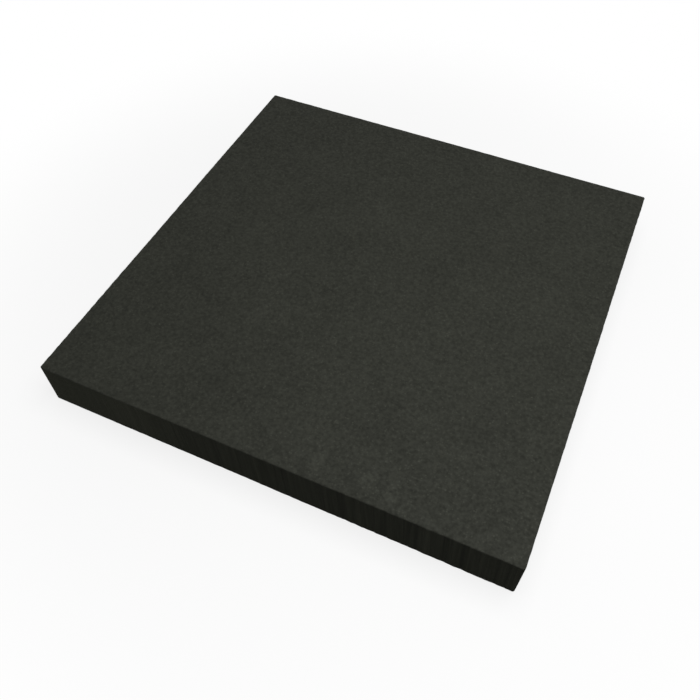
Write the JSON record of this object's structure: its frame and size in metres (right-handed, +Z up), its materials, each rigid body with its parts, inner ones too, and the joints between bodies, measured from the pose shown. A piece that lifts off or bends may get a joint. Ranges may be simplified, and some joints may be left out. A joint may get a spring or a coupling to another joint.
{
  "type": "balance pad",
  "caption": "Flat square slab of black closed-cell foam with smooth grained skins and square-cut sides, soft enough to sink underfoot, for balance exercises.",
  "frame": {"origin": "centre of the underside, on the floor", "axes": "+Z up, out of the face that is stood on; +X to the right along the front side; +Y away from the front side"},
  "size_m": [0.45, 0.45, 0.05],
  "materials": {
    "skin": "satin, fine pebble grain",
    "foam": "matt, knife-cut closed cells",
    "bond_film": "matt"
  },
  "bodies": {
    "lower_half": {"bottom_skin": "skin", "bottom_ply": "foam", "lower_bond_film": "bond_film", "lower_middle_ply": "foam", "middle_bond_film": "bond_film"},
    "upper_half": {"upper_middle_ply": "foam", "upper_bond_film": "bond_film", "top_ply": "foam", "top_skin": "skin"}
  },
  "joints": [
    {"name": "press", "type": "slide", "parent": "lower_half", "child": "upper_half", "axis": [0, 0, 1], "range_m": [-0.02, 0], "stiffness_N_per_m": 60000, "deforming": ["bottom_ply", "lower_bond_film", "lower_middle_ply", "middle_bond_film", "upper_middle_ply", "upper_bond_film", "top_ply"]}
  ]
}
